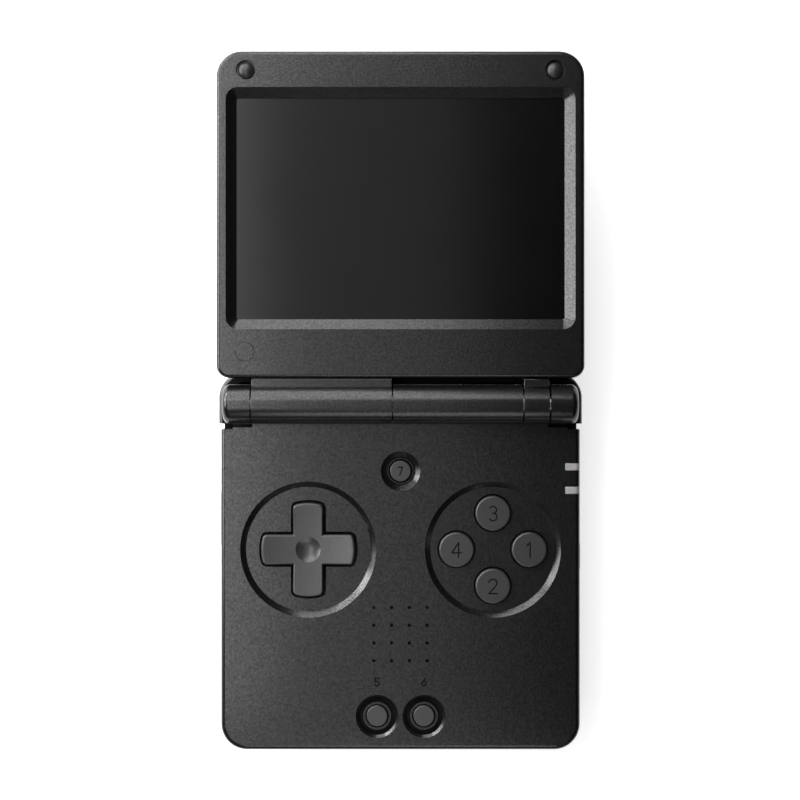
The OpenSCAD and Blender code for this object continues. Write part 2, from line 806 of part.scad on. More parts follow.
// Room inside the bottom shell
module bottom_room() {
    slab(half_w - wall, -reach + wall, room_rear_y, base_corner_r - wall, base_corner_r - wall,
        wall, parting_z + 1, belly_r - wall, 0);
    block(-(pocket_x - rear_wall), pocket_x - rear_wall, room_rear_y - 8, pocket_y - rear_wall,
        2 * wall, parting_z + 1);
    block(-(key_inner_x0 - 1.6), key_inner_x0 - 1.6, 0, rear_y - wall, usb_z - usb_h, parting_z + 1);
}

// Solid block that the battery bay is cut from
module battery_tray() {
    side = battery_w / 2 + bay_gap + tray_wall;
    front = -(battery_front_y + bay_gap + tray_wall);
    back = -(battery_front_y - battery_l) + bay_gap + tray_wall;
    block(-side - 1, side + 1, front, back, 0.5, door_t + battery_t + 1.7);
    block(-side - 1, side + 1, back - 1, back + door_tab, 0.5, door_t + 2);
    post(0, door_screw_y(), 2.4, 0.5, 5.5);
}

module battery_bay() {
    side = battery_w / 2 + bay_gap;
    front = -(battery_front_y + bay_gap);
    back = -(battery_front_y - battery_l) + bay_gap;
    block(-side, side, front, back, -1, door_t + battery_t + 0.8);
    door_plan(0.15, -1, door_t + 0.05);
}

// Plate of the battery door, grown by a gap
module door_plan(grow, z0, z1) {
    side = battery_w / 2 + bay_gap + door_margin - 1 + grow;
    front = -(battery_front_y + bay_gap + 1) - grow;
    back = -(battery_front_y - battery_l) + bay_gap + door_tab + grow;
    plate(-side, side, front, back, z0, z1, 1.5 + grow);
}

module battery_door() {
    color(shell_grey) difference() {
        door_plan(0, 0, door_t);
        post(0, door_screw_y(), 1.1, -1, far);
        post(0, door_screw_y(), 1.9, -1, 0.6);
        for (i = [0:4])
            plate(-7, 7, -(battery_front_y - 4) + i * 1.6, -(battery_front_y - 4.8) + i * 1.6, -1, 0.3, 0.35);
    }
}

module battery_pack() {
    back = -(battery_front_y - battery_l);
    color([0.3, 0.36, 0.42]) difference() {
        plate(-battery_w / 2, battery_w / 2, -battery_front_y, back,
            door_t + 0.2, door_t + 0.2 + battery_t, 2);
        block(-battery_w / 2 + 4, battery_w / 2 - 4, back - 1.2, far, door_t + battery_t - 1.2, far);
    }
}

// The main board with the chips that sit on it
module main_board() {
    color([0.1, 0.3, 0.2]) difference() {
        union() {
            plate(-half_w + board_side_gap, half_w - board_side_gap, -reach + board_front_gap,
                room_rear_y - 0.8, board_z, board_top_z, board_corner_r);
            plate(-board_tongue_w / 2, board_tongue_w / 2, room_rear_y - 4, pocket_y - rear_wall - 0.4,
                board_z, board_top_z, 1);
            for (c = chips) chip([c[0], c[1]], [c[2], c[3]], board_z, board_top_z + c[4]);
            chip([0, processor_y], processor_size, board_z - processor_t, board_z + eps);
        }
        for (p = screw_spots) post(p.x, p.y, screw_r + 2.6, 0, far);
        block(jack_x - jack_body_w / 2 - 0.4, jack_x + jack_body_w / 2 + 0.4, -far, -reach + 15.6, 0, far);
    }
}

// A block centred on a spot in plan
module chip(spot, size, z0, z1) {
    block(spot.x - size.x / 2, spot.x + size.x / 2, spot.y - size.y / 2, spot.y + size.y / 2, z0, z1);
}

module processor_shield() {
    skin = [2 * shield_skin, 2 * shield_skin];
    color([0.7, 0.71, 0.72]) difference() {
        chip([0, processor_y], shield_size, board_z - shield_h, board_z);
        chip([0, processor_y], shield_size - skin, board_z - shield_h + shield_skin, board_z + 1);
    }
}

module speaker() {
    top = roof_z - 0.1;
    color([0.35, 0.35, 0.36]) difference() {
        union() {
            post(0, -speaker_y, speaker_r, top - 1.4, top);
            post(0, -speaker_y, speaker_r * 0.6, board_top_z + 0.4, top);
        }
        post(0, -speaker_y, speaker_r - 1, top - 0.5, top + 1);
    }
}

// A rubber dome that pushes a button back up
module dome(x, y, r, top_z) {
    translate([x, y, sheet_z - eps]) difference() {
        cylinder(r1 = r, r2 = r * 0.62, h = top_z - sheet_z);
        translate([0, 0, -1]) cylinder(r = r * 0.5, h = top_z - sheet_z + 0.5);
    }
}

module d_pad_membrane() {
    color([0.55, 0.55, 0.57]) difference() {
        union() {
            post(-dish_x, -dish_y, pad_len / 2 + 2.6, board_top_z, sheet_z);
            for (d = face_spots)
                dome(-dish_x + d.x * pad_len / 4, -dish_y + d.y * pad_len / 4, pad_dome_r, stem_z - 0.25);
        }
        post(-dish_x, -dish_y, ball_r + 0.7, 0, far);
    }
}

module face_button_membrane() {
    color([0.55, 0.55, 0.57]) difference() {
        union() {
            post(dish_x, -dish_y, face_pitch + face_flange_r + 0.4, board_top_z, sheet_z);
            for (d = face_spots)
                dome(dish_x + d.x * face_pitch, -dish_y + d.y * face_pitch, face_dome_r, stem_z - 0.05);
        }
        post(dish_x, -dish_y, 1.6, 0, far);
    }
}

module start_select_membrane() {
    color([0.55, 0.55, 0.57]) {
        plate(-start_x - start_sheet_margin.x, start_x + start_sheet_margin.x,
            -start_y - start_sheet_margin.y, -start_y + start_sheet_margin.y,
            board_top_z, sheet_z, start_sheet_r);
        for (s = [-1, 1]) dome(s * start_x, -start_y, start_dome_r, stem_z - 0.05);
    }
}

module menu_switch() {
    color([0.75, 0.75, 0.76]) {
        block(-2.25, 2.25, -menu_y - 2.25, -menu_y + 2.25, board_top_z, board_top_z + 0.5);
        post(0, -menu_y, 1, board_top_z, stem_z - small_travel - 0.05);
    }
}

// A shoulder switch strip lies on the wall of the pocket, with one switch for each button
module shoulder_switches() {
    mid_z = (key_floor_z + shelf_z) / 2;
    margin = key_switch_w / 2;
    color([0.75, 0.6, 0.3]) {
        block(key_inner_nub_x - margin - 1.4, key_outer_nub_x + margin + 0.3,
            pocket_y, pocket_y + key_strip_t, mid_z - key_strip_w / 2, mid_z + key_strip_w / 2);
        for (x = [key_inner_nub_x, key_outer_nub_x])
            block(x - margin, x + margin, pocket_y, pocket_y + key_switch_t, mid_z - margin, mid_z + margin);
    }
}

// Tact switches behind the power button and the volume rocker
module side_switches() {
    x = side_switch_x - side_switch_depth / 2;
    color([0.75, 0.75, 0.76]) {
        chip([x, -power_y], [side_switch_depth, power_switch_len], board_top_z, board_top_z + side_switch_h);
        for (s = [-0.5, 0.5])
            chip([-x, -volume_y + s * volume_switch_apart], [side_switch_depth, volume_switch_len],
                board_top_z, board_top_z + side_switch_h);
    }
}

module light_pipe(y) {
    color([0.8, 0.82, 0.84]) difference() {
        intersection() {
            slab(top_half_w, top_front_y, top_rear_y, base_corner_r, base_corner_r,
                parting_z, base_h, 0, face_edge_r);
            light_block(y);
        }
        block(0, top_half_w - 1.4, -far, far, 0, base_h - 0.9);
    }
}

module usb_c_port() {
    color([0.72, 0.72, 0.74]) translate([0, rear_y - 0.4, usb_z]) rotate([90, 0, 0]) {
        difference() {
            linear_extrude(usb_len) pill(usb_w + 2 * usb_skin, usb_h + 2 * usb_skin);
            translate([0, 0, -1]) linear_extrude(usb_len) pill(usb_w, usb_h);
        }
        translate([-3.35, -0.35, 0.7]) cube([6.7, 0.7, usb_len - 1.2]);
    }
}

module headphone_jack() {
    front = -reach + 0.1;
    color([0.12, 0.12, 0.12]) difference() {
        union() {
            translate([jack_x, front, jack_z]) rotate([-90, 0, 0]) cylinder(r = jack_nose_r, h = jack_depth);
            block(jack_x - jack_body_w / 2, jack_x + jack_body_w / 2, top_front_y + wall + 0.05,
                -reach + 0.8 + jack_depth, jack_z - 2.5, jack_z + 3.1);
        }
        translate([jack_x, front - 1, jack_z]) rotate([-90, 0, 0]) cylinder(r = jack_r, h = jack_depth + 1);
    }
}

module card_slot() {
    x0 = card_x - card_w / 2 - 1;
    x1 = card_x + card_w / 2 + 1;
    y0 = top_front_y + wall + 0.05;
    color([0.72, 0.72, 0.74]) difference() {
        block(x0, x1, y0, y0 + card_case_len, card_z - 0.1, board_z);
        block(x0 + 0.9, x1 - 0.9, y0 - 1, y0 + card_depth, card_z + 0.1, card_z + 0.95);
    }
}

// A screw with its head down and a crosshead recess
module screw(x, y, head_r, head_z, head_h, r, top_z) {
    difference() {
        union() {
            post(x, y, head_r, head_z - head_h, head_z);
            post(x, y, r, head_z - eps, top_z);
        }
        for (a = [0, 90])
            translate([x, y, head_z - head_h]) rotate(a) cube([head_r, 0.5, 0.9], center = true);
    }
}

module case_screws() {
    color([0.25, 0.25, 0.26]) {
        for (p = screw_spots) screw(p.x, p.y, screw_r + 1, screw_head_z(), 1.1, screw_r, roof_z - 1.5);
        screw(0, door_screw_y(), 1.7, 0.6, 0.5, 0.8, 4.6);
    }
}

// End cap of the hinge on the right, with the foot that stands on the shelf
module hinge_cap() {
    color(shell_grey) difference() {
        union() {
            translate([cap_x0, 0, axis_z]) rotate([0, 90, 0]) rotate_extrude()
                rim_section(barrel_r, 0, cap_end_x - cap_x0, 0, cap_edge_r);
            block(cap_x0, pocket_x - rear_wall, -barrel_r + 0.2, pocket_y - 0.2, shelf_z, axis_z);
        }
        rod(pin_r, 0, cap_x0 + 4.6);
    }
}

module hinge_cap_right() {
    hinge_cap();
}

module hinge_cap_left() {
    mirror([1, 0, 0]) hinge_cap();
}

module hinge_pins() {
    color([0.6, 0.6, 0.62]) {
        difference() {
            rod(pin_r, -cap_x0 - 4.5, long_knuckle_x0 + 4);
            rod(pin_r - 0.7, -far, 0);
        }
        rod(pin_r, short_knuckle_x1 - 2.6, cap_x0 + 4.5);
    }
}

module hinge_cartridge() {
    color([0.6, 0.6, 0.62]) difference() {
        rod(cartridge_r, cartridge_x0, middle_x1 - 0.1);
        rod(cartridge_r - cartridge_wall, cartridge_x0 + 0.8, middle_x1 - 1.1);
        rod(shaft_r + running_gap, 0, far);
    }
}

// The coil that presses the follower on the cam, as one helical tube
spring_turns = 7;
spring_steps = 14;
spring_wire_r = 0.4;
spring_sides = 6;
spring_r = cam_r - spring_wire_r - 0.15;
spring_x0 = cartridge_x0 + 1.3;
spring_x1 = middle_x1 - 8.4;

module hinge_spring() {
    n = spring_turns * spring_steps;
    points = [for (i = [0:n], j = [0:spring_sides - 1])
        let (turn = 360 * i / spring_steps, side = 360 * j / spring_sides,
            r = spring_r + spring_wire_r * cos(side))
            [spring_x0 + (spring_x1 - spring_x0) * i / n + spring_wire_r * sin(side),
                r * cos(turn), axis_z + r * sin(turn)]];
    skins = [for (i = [0:n - 1], j = [0:spring_sides - 1], t = [0, 1])
        let (a = i * spring_sides + j, b = i * spring_sides + (j + 1) % spring_sides)
            t == 0 ? [a, b, a + spring_sides] : [b, b + spring_sides, a + spring_sides]];
    ends = concat([for (j = [1:spring_sides - 2]) [0, j + 1, j]],
        [for (j = [1:spring_sides - 2]) [n * spring_sides, n * spring_sides + j, n * spring_sides + j + 1]]);
    color([0.7, 0.7, 0.72]) polyhedron(points, concat(skins, ends));
}

// The follower is pressed against the cam by the spring
module hinge_follower() {
    color([0.6, 0.6, 0.62]) difference() {
        rod(cam_r + 0.1, spring_x1 + 0.6, middle_x1 - 5.6);
        block(middle_x1 - 6.4, far, -1, 1, 0, far);
        rod(1, 0, far);
    }
}

// Cam and flatted shaft that turn with the lid
module hinge_cam_shaft() {
    color([0.6, 0.6, 0.62]) {
        rod(cam_r, middle_x1 - 5.5, middle_x1 - 1.2);
        shaft_rod(short_knuckle_x0 + 2.4);
    }
}

module shaft_rod(x1) {
    intersection() {
        rod(shaft_r, middle_x1 - 5.4, x1);
        union() {
            block(0, short_knuckle_x0, -far, far, 0, far);
            block(0, far, -shaft_r * 0.7, shaft_r * 0.7, 0, far);
        }
    }
}

// The rolled cable that goes through the hinge, between two places along X
module rolled_cable(x0, x1) {
    difference() {
        rod(cable_r, x0, x1);
        rod(cable_r - cable_skin, x0 - 1, x1 + 1);
    }
}

module display_cable() {
    x0 = cable_x - cable_w / 2;
    x1 = cable_x + cable_w / 2;
    low = lid_parting_z - 0.9;
    top = panel_z - backlight_t - 0.2;
    start = cable_r - cable_skin;
    turn = lid_near_y + wall + cable_turn;
    finish = screen_y - glass_h / 2 + cable_lap;
    color([0.8, 0.55, 0.2]) {
        rolled_cable(x0 - 2.4, long_knuckle_x1 - 0.3);
        block(x0, x1, start, turn, low, low + cable_t);
        block(x0, x1, start, start + cable_t, low, axis_z);
        block(x0, x1, turn - cable_t, turn, low, top);
        block(x0, x1, turn - cable_t, finish, top - cable_t, top);
    }
}

module display_cable_tail() {
    x0 = middle_x0 + tail_in[0];
    x1 = cartridge_x0 - tail_in[1];
    top = board_top_z + 0.9;
    color([0.8, 0.55, 0.2]) {
        rolled_cable(long_knuckle_x1 + 0.1, cartridge_x0 - 1.6);
        block(x0, x1, -cable_t / 2, cable_t / 2, top, axis_z - 1.3);
        block(x0, x1, tail_foot_y, cable_t / 2, top - cable_t, top);
        block(x0, x1, tail_foot_y, tail_foot_y + tail_foot_len, board_top_z, top);
    }
}

// Pivots of the shoulder buttons on the right
key_pin_r = 0.85;
function pin_y() = rear_y - 2.1;
function pin_outer_x() = key_outer_x0 + 1.7;
function pin_inner_x() = key_inner_x0 + 1.7;
function pin_spots() = [for (s = [-1, 1], x = [pin_outer_x(), pin_inner_x()]) s * x];

module shoulder_pins() {
    color([0.6, 0.6, 0.62])
        for (x = pin_spots()) post(x, pin_y(), key_pin_r, key_floor_z - 0.9, shelf_z - 1.9);
}

// Height range of the shoulder buttons
key_z0 = key_floor_z + 0.3;
key_z1 = shelf_z - 0.5;

// The rib of a button at x that meets its switch when the button swings about its pin
module switch_rib(x, pin_x) {
    y = pocket_y + key_switch_t + key_nub_gap + key_nub_r + (x - pin_x) * sin(key_swing);
    post(x, y, key_nub_r, key_z0 + key_nub_in, key_z1 - key_nub_in);
    half = key_nub_r - 0.05;
    block(x - half, x + half, y, rear_y - 1, key_z0 + key_nub_in, key_z1 - key_nub_in);
}

// The corner button on the right: the rear face, round the corner and along the side
module shoulder_outer() {
    difference() {
        union() {
            intersection() {
                slab(half_w + key_proud, -20, rear_y, key_corner_r, key_corner_r,
                    key_z0, key_z1, key_edge_r, key_edge_r);
                block(key_outer_x0, far, -key_front_y, far, 0, far);
                difference() {
                    block(0, far, -far, far, 0, far);
                    plate(0, half_w + key_proud - key_t, -far, rear_y - key_t, 0, far,
                        key_corner_r - key_t);
                }
            }
            post(pin_outer_x(), pin_y(), 1.5, key_z0, key_z1 - key_edge_r);
            switch_rib(key_outer_nub_x, pin_outer_x());
        }
        post(pin_outer_x(), pin_y(), key_pin_r + running_gap, 0, key_z1 - 1.2);
    }
}

// The smaller button beside it
module shoulder_inner() {
    difference() {
        union() {
            intersection() {
                slab(half_w, -20, rear_y, key_corner_r, key_corner_r, key_z0, key_z1, key_edge_r, key_edge_r);
                block(key_inner_x0, key_outer_x0 - key_split, rear_y - key_t, far, 0, far);
            }
            post(pin_inner_x(), pin_y(), 1.5, key_z0, key_z1 - key_edge_r);
            switch_rib(key_inner_nub_x, pin_inner_x());
        }
        post(pin_inner_x(), pin_y(), key_pin_r + running_gap, 0, key_z1 - 1.2);
    }
}

// A side control: a pill that shows, a flange behind the wall and a rib for the switch
module side_key(y, len, flange_back) {
    flange_x = top_half_w - wall - flange_back;
    translate([0, -y, side_z()]) {
        translate([flange_x - 0.1, 0, 0]) rotate([90, 0, 90])
            linear_extrude(top_half_w + side_proud - flange_x + 0.1) pill(len, side_key_h);
        translate([flange_x - 0.7, -len / 2 - 1, -side_key_h / 2 - 0.2])
            cube([0.7, len + 2, side_key_h + 0.4]);
        translate([flange_x - 1, -0.5, -0.6]) cube([0.5, 1, 1.2]);
    }
}

module power_button() {
    color(key_grey) side_key(power_y, power_len, 0.1);
}

module volume_rocker() {
    color(key_grey) mirror([1, 0, 0]) side_key(volume_y, volume_len, 0.4);
}

// A knuckle of the lid with the web that joins it to the lid
module lid_knuckle(x0, x1) {
    rod(barrel_r, x0, x1);
    difference() {
        block(x0, x1, 2.4, lid_near_y + wall, web_z - web_t, web_z + web_rise);
        translate([x0 - 1, lid_near_y - seam, web_z + web_curve_r]) rotate([0, 90, 0])
            cylinder(r = web_curve_r, h = x1 - x0 + 2);
    }
}

// Screw spots of the lid: under each bumper and under the plug
function lid_screw_spots() = [[-bumper_x, bumper_y], [bumper_x, bumper_y], [-plug_x, plug_y]];

module lid_back_cover() {
    color(shell_grey) difference() {
        union() {
            difference() {
                slab(half_w, lid_near_y, reach, lid_near_r, lid_far_r,
                    lid_back_z, lid_parting_z, lid_back_r, 0);
                plate(-(half_w - wall), half_w - wall, lid_near_y + wall, reach - wall,
                    lid_back_z + wall, far, lid_far_r - wall);
            }
            difference() {
                union() {
                    lid_knuckle(long_knuckle_x0, long_knuckle_x1);
                    lid_knuckle(short_knuckle_x0, short_knuckle_x1);
                }
                web_trim();
            }
            for (p = lid_screw_spots()) post(p.x, p.y, 2.2, lid_back_z + wall - 0.5, lid_parting_z);
        }
        for (p = lid_screw_spots()) post(p.x, p.y, 0.8, lid_back_z + wall, far);
        rod(bore_r, -far, long_knuckle_x0 + 5);
        rod(hollow_r, long_knuckle_x0 + 4.4, long_knuckle_x1 - spigot_len - 0.5);
        rod(spigot_r + running_gap, long_knuckle_x1 - spigot_len - 1, long_knuckle_x1 + 1);
        rod(bore_r, short_knuckle_x1 - 2.7, far);
        shaft_rod(short_knuckle_x0 + 2.5);
        block(cable_x - cable_w / 2 - cable_slot_gap, cable_x + cable_w / 2 + cable_slot_gap,
            0, lid_near_y + wall + 1, lid_parting_z - 1.1, lid_parting_z - 0.4);
    }
}

// What the webs lose in front of the bezel, and the groove along the barrel
module web_trim() {
    block(-far, far, lid_near_y - seam, far, lid_parting_z, far);
    block(-far, far, barrel_side_y, barrel_side_y + seam, web_z - seam, far);
}

// The window for the glass, and its slanted rim with a cone in each corner
module recess_cut() {
    x = glass_w / 2 - glass_r;
    y = glass_h / 2 - glass_r;
    centred_plate(glass_w, glass_h, glass_r, lid_face_z - rim_depth - 3, lid_face_z + 1);
    translate([0, screen_y, lid_face_z - rim_depth]) {
        for (sx = [-1, 1], sy = [-1, 1]) translate([sx * x, sy * y, 0]) rim_cone();
        translate([-x, 0, 0]) rotate([90, 0, 90]) linear_extrude(2 * x) rim_profile(glass_h / 2);
        translate([0, y, 0]) rotate([90, 0, 0]) linear_extrude(2 * y) rim_profile(glass_w / 2);
    }
}

module rim_cone() {
    cylinder(r1 = glass_r, r2 = glass_r + rim_w, h = rim_depth);
    translate([0, 0, rim_depth]) cylinder(r = glass_r + rim_w, h = 1);
}

module rim_profile(half) {
    polygon([[-half, 0], [half, 0], [half + rim_w, rim_depth], [half + rim_w, rim_depth + 1],
        [-half - rim_w, rim_depth + 1], [-half - rim_w, rim_depth]]);
}

module centred_plate(w, h, r, z0, z1) {
    plate(-w / 2, w / 2, screen_y - h / 2, screen_y + h / 2, z0, z1, r, $fn = 32);
}

module lid_bezel() {
    border_y0 = screen_y - recess_h / 2 + rim_w - lens_lap;
    border_y1 = screen_y + recess_h / 2 - rim_w + lens_lap;
    color(shell_grey) difference() {
        union() {
            difference() {
                slab(half_w, lid_near_y, reach, lid_near_r, lid_far_r,
                    lid_parting_z, lid_face_z, 0, lid_face_r);
                plate(-(half_w - wall), half_w - wall, lid_near_y + wall, border_y0 - wall,
                    0, lid_room_z, 1.4);
                plate(-(half_w - wall), half_w - wall, border_y1 + wall, reach - wall,
                    0, lid_room_z, 2.8);
            }
            for (p = lid_screw_spots()) post(p.x, p.y, 3.1, lid_parting_z, lid_room_z + 0.4);
        }
        recess_cut();
        block(-glass_w / 2 - lens_lap, glass_w / 2 + lens_lap, border_y0, border_y1, 0, lens_top_z);
        for (s = [-1, 1])
            post(s * bumper_x, bumper_y, bumper_r + bumper_ring, lid_face_z - bumper_sink, far);
        post(-plug_x, plug_y, plug_r + 0.06, lid_face_z - bumper_sink, far);
        for (p = lid_screw_spots()) {
            post(p.x, p.y, 1.75, lid_face_z - 2.2, far);
            post(p.x, p.y, 1, 0, far);
        }
    }
}

module screen_lens() {
    w = glass_w + 2 * lens_lap - 0.2;
    h = glass_h + 2 * lens_lap - 0.2;
    color([0.05, 0.05, 0.06]) centred_plate(w, h, 0.8, lens_top_z - lens_t, lens_top_z);
}

module display_panel() {
    color([0.08, 0.08, 0.1])
        centred_plate(glass_w - 1.2, glass_h - 1.2, 0.5, panel_z, lens_top_z - lens_t - 0.05);
}

module backlight_unit() {
    color([0.8, 0.8, 0.8])
        centred_plate(glass_w - 0.4, glass_h - 0.4, 0.8, panel_z - backlight_t, panel_z - 0.05);
}

module lid_bumper(side) {
    top = lid_face_z + bumper_proud;
    low = lid_face_z - bumper_sink;
    rise = top - low - 0.35;
    dome_r = (bumper_r * bumper_r + rise * rise) / (2 * rise);
    color([0.1, 0.1, 0.1]) intersection() {
        post(side * bumper_x, bumper_y, bumper_r, low, top + 1);
        translate([side * bumper_x, bumper_y, top - dome_r]) sphere(dome_r);
    }
}

module lid_screw_plug() {
    color(shell_grey) post(-plug_x, plug_y, plug_r, lid_face_z - bumper_sink, lid_face_z);
}

module lid_screws() {
    top = lid_face_z - bumper_sink - 0.1;
    color([0.25, 0.25, 0.26]) for (p = lid_screw_spots()) difference() {
        union() {
            post(p.x, p.y, 1.6, lid_face_z - 2.2, top);
            post(p.x, p.y, 0.8, lid_back_z + wall + 0.3, top - 0.5);
        }
        for (a = [0, 90]) translate([p.x, p.y, top]) rotate(a) cube([1.8, 0.4, 0.8], center = true);
    }
}

module lid_magnet() {
    color([0.7, 0.7, 0.72])
        chip([magnet_x, reach - wall - 1 - magnet_size.y / 2], magnet_size,
            lid_back_z + wall, lid_back_z + wall + magnet_size.z);
}

// The d-pad rocks on a ball under its middle, so its top is dished and its flange is small
module d_pad() {
    low = stem_z + 0.8;
    top = base_h + pad_proud;
    run_out = pad_len / 2 + pad_run_out;
    flange_top = dish_under_z - pad_flange_r * sin(pad_tilt) - pad_flange_gap;
    dish_ball = (run_out * run_out + pad_dish * pad_dish) / (2 * pad_dish);
    dimple_ball = (dimple_r * dimple_r + dimple_depth * dimple_depth) / (2 * dimple_depth);
    ball_z = board_top_z + ball_r;
    color(key_grey) translate([-dish_x, -dish_y, 0]) difference() {
        union() {
            translate([0, 0, low]) linear_extrude(top - low) cross_plan(0);
            post(0, 0, pad_flange_r, stem_z - 0.2, flange_top);
            post(0, 0, 4.4, stem_z - 0.2, low + 1);
        }
        translate([0, 0, top - pad_dish + dish_ball]) sphere(dish_ball, $fn = 128);
        translate([0, 0, top - pad_dish - dimple_depth + dimple_ball + 0.03]) sphere(dimple_ball);
        translate([0, 0, ball_z]) sphere(ball_r + running_gap);
        post(0, 0, ball_r + 0.2, 0, ball_z);
    }
}

module d_pad_pivot() {
    color([0.6, 0.6, 0.62]) translate([-dish_x, -dish_y, board_top_z + ball_r]) sphere(ball_r);
}

// A round button with a softly rounded top and a flange under the shell
module round_button(x, y, r, top_z, edge, flange_r, flange_z) {
    translate([x, y, 0]) {
        rotate_extrude() rim_section(r, stem_z, top_z, 0, edge);
        post(0, 0, flange_r, stem_z, flange_z);
    }
}

module face_button(i) {
    d = face_spots[i];
    x = dish_x + d.x * face_pitch;
    y = -dish_y + d.y * face_pitch;
    color(key_grey) difference() {
        round_button(x, y, face_r, base_h + face_proud, 0.4, face_flange_r, dish_under_z - 0.05);
        numeral_cut(i + 1, x, y, face_mark_h, base_h + face_proud);
    }
}

module small_button(x, y) {
    round_button(x, -y, small_r, base_h - small_drop, 0.25, small_r + 0.9,
        base_h - well_depth - wall - 0.05);
}

module menu_button() {
    color(key_grey) difference() {
        small_button(0, menu_y);
        numeral_cut(7, 0, -menu_y, small_mark_h, base_h - small_drop);
    }
}

module select_button() {
    color(key_grey) small_button(-start_x, start_y);
}

module start_button() {
    color(key_grey) small_button(start_x, start_y);
}

base_top_shell();
base_bottom_shell();
battery_door();
battery_pack();
main_board();
processor_shield();
speaker();
d_pad_membrane();
face_button_membrane();
start_select_membrane();
menu_switch();
mirror([1, 0, 0]) shoulder_switches();  // shoulder_switches_left
shoulder_switches();  // shoulder_switches_right
side_switches();
light_pipe(light_spots[0]);  // power_light_pipe
light_pipe(light_spots[1]);  // charge_light_pipe
usb_c_port();
headphone_jack();
card_slot();
case_screws();
hinge_cap_left();
hinge_cap_right();
hinge_pins();
hinge_cartridge();
hinge_spring();
hinge_follower();
display_cable_tail();
shoulder_pins();
lid_bezel();
lid_back_cover();
screen_lens();
display_panel();
backlight_unit();
lid_bumper(-1);  // lid_bumper_left
lid_bumper(1);  // lid_bumper_right
lid_screw_plug();
lid_screws();
lid_magnet();
display_cable();
hinge_cam_shaft();
d_pad();
d_pad_pivot();
face_button(0);  // face_button_right
face_button(1);  // face_button_bottom
face_button(2);  // face_button_top
face_button(3);  // face_button_left
menu_button();
select_button();
start_button();
color(key_grey) mirror([1, 0, 0]) shoulder_outer();  // shoulder_outer_left
color(key_grey) mirror([1, 0, 0]) shoulder_inner();  // shoulder_inner_left
color(key_grey) shoulder_outer();  // shoulder_outer_right
color(key_grey) shoulder_inner();  // shoulder_inner_right
power_button();
volume_rocker();
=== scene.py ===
"""The looks of a clamshell handheld game console, in Blender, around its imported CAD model.

Lengths are in metres unless a name ends in _MM. +X is right, +Y points from the hinge to the open
lid's far edge, and +Z is up out of the base's face.
"""

import json
import math

import bmesh
import bpy
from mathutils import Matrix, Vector


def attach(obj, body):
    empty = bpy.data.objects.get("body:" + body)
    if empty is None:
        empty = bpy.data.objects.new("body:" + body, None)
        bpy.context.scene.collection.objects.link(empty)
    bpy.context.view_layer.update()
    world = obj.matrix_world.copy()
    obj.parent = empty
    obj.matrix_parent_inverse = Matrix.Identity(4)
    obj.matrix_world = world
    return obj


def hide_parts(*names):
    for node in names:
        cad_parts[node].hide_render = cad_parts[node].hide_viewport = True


MM = 0.001

# Camera, straight above the hinge
CAMERA_PLACE_MM = (-0.12, 0.98, 376)
CAMERA_LENS_MM = 69.1
SENSOR_MM = 36

# Studio
FLOOR_HALF = 1.5
FLOOR_GAP_MM = 0.05
FLOOR_COLOUR = 0.8
FLOOR_GLOW = 0.72
HORIZON_GLOW = 0.05
HORIZON_TOP = 0.45

# Lamps: place, size, power in watts and the spot it faces, or None for straight down
MIDDLE = (0, 0, 0.01)
BARREL_MIDDLE = (0, 0, 0.02)
LAMPS = {
    "left_box": ((-0.399, 0.059, 0.227), (0.288, 0.184), 1.237, MIDDLE),
    "rear_box": ((-0.121, 0.291, 0.230), (0.357, 0.397), 1.548, MIDDLE),
    "corner_strip": ((-0.447, 0.299, 0.145), (0.472, 0.067), 1.863, MIDDLE),
    "overhead_left": ((-0.1, 0.007, 0.272), (0.081, 0.288), 0.244, None),
    "overhead_right": ((-0.016, -0.045, 0.329), (0.093, 0.469), 0.095, None),
    "front_panel": ((0, -0.136, 0.1), (0.099, 0.059), 0.034, BARREL_MIDDLE),
}

# Edge rounding of the finished copies; the D-pad's dimple has a crisp rim at a smaller angle
SMOOTH_ANGLE = math.radians(32)
CRISP_ANGLE = {"d_pad": math.radians(20)}
CRISP_EDGE_SHARE = 0.1
FLAT_ANGLE = math.radians(0.4)
EDGE_STEPS = 2
WELD = 2e-6

# How high a normal's Z is on a face that faces up at all, that is nearly level, and that is level, and
# how low it is on an upright one
FACES_UP = 0.3
NEARLY_LEVEL = 0.99
LEVEL = 0.999
UPRIGHT = 0.01


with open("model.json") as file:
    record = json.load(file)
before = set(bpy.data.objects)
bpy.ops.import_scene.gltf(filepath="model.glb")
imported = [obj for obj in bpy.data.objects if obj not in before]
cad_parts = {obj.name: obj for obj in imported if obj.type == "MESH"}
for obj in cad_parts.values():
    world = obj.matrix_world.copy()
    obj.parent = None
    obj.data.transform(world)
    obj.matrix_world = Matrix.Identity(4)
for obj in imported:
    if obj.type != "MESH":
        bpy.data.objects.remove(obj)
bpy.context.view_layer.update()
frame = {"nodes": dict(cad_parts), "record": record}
node_slots = {s["node"]: s["material_slot"] for s in frame["record"]["subparts"]}
body_of = {node: body for body, nodes in frame["record"]["behaviour"]["bodies"].items() for node in nodes}


# Materials


